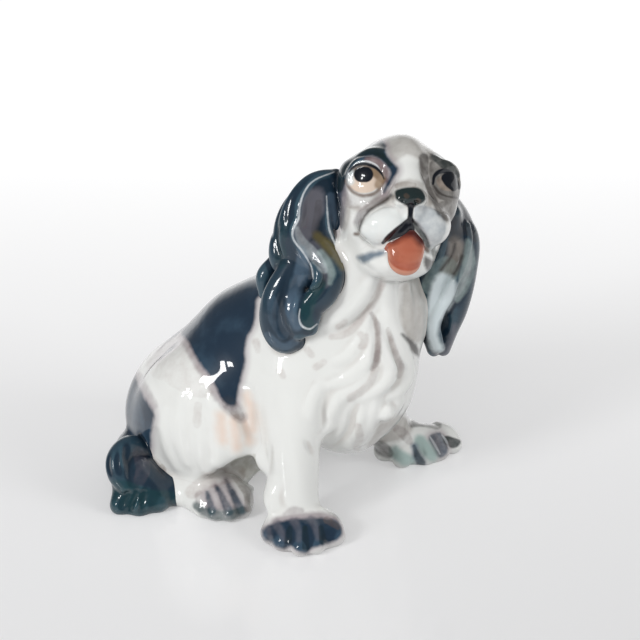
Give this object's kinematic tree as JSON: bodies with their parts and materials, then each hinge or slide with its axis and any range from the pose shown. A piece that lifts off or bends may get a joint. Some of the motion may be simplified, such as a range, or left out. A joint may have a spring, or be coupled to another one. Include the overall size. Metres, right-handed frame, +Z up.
{
  "type": "dog figurine",
  "caption": "Seated porcelain spaniel pup with long wavy ears, head turned and tongue out, hollow cast and glazed, standing on a flat seat.",
  "frame": {"origin": "on the surface the figure stands on, under the middle of its overall width and length", "axes": "+Z up, the pup's body faces -Y, and its left side is towards +X"},
  "size_m": [0.1224, 0.1544, 0.1673],
  "materials": {
    "white_glaze": "clear gloss glaze over white porcelain with hand-painted coat markings",
    "black_glaze": "clear gloss glaze over blue-black underglaze, thinning to grey on the ridges",
    "tongue_glaze": "clear gloss glaze over terracotta red"
  },
  "bodies": {
    "root": {"torso": "white_glaze", "head": "white_glaze", "lower_jaw": "white_glaze", "tongue": "tongue_glaze", "right_ear": "black_glaze", "left_ear": "black_glaze", "right_foreleg": "white_glaze", "left_foreleg": "white_glaze", "right_hind_foot": "white_glaze", "left_hind_foot": "white_glaze", "tail": "black_glaze"}
  },
  "joints": []
}
